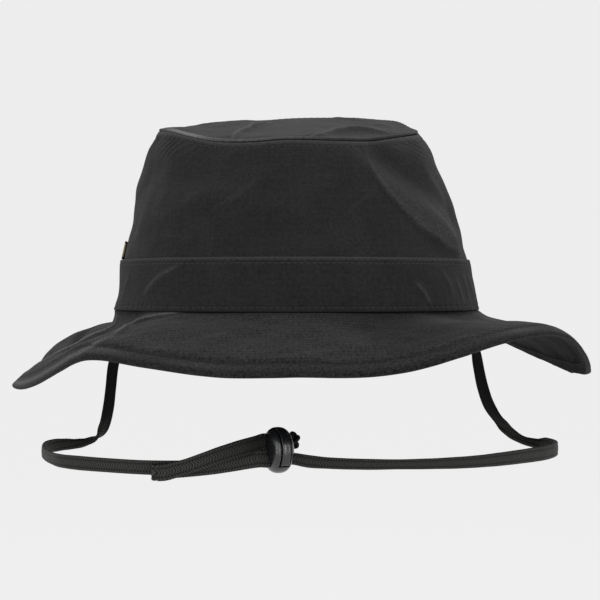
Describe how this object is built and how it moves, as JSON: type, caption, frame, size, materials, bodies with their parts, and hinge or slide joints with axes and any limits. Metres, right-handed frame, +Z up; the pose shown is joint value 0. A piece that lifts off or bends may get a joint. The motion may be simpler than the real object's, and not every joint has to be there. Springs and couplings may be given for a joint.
{
  "type": "angler hat",
  "caption": "Soft cotton angler hat with an oval crown, wide band and waved brim, and a flat braided chin cord with a sprung cord lock.",
  "frame": {"origin": "middle of the head opening, at the foot of the crown, where the hat sits on a head", "axes": "+Z up along the crown, -Y to the front of the hat, +X to the wearer's left"},
  "size_m": [0.264, 0.3152, 0.1643],
  "materials": {
    "cotton_ripstop": "washed black cotton ripstop, dull",
    "label_weave": "plain woven label, tan, bare",
    "cord_braid": "flat braided cord, dark grey",
    "lock_plastic": "moulded black plastic, satin"
  },
  "bodies": {
    "hat": {"crown_wall": "cotton_ripstop", "crown_top": "cotton_ripstop", "crown_band": "cotton_ripstop", "brim": "cotton_ripstop", "side_label": "label_weave", "cord_left": "cord_braid", "cord_right": "cord_braid", "cord_fold": "cord_braid", "cord_tail": "cord_braid", "cord_knot": "cord_braid", "lock_body": "lock_plastic"},
    "lock_button": {"lock_plunger": "lock_plastic"}
  },
  "joints": [
    {"name": "lock_press", "type": "slide", "parent": "hat", "child": "lock_button", "axis": [-0.3929, 0.8824, -0.2588], "range_m": [0, 0.0024], "stiffness_N_per_m": 800, "springref_m": -0.001}
  ]
}
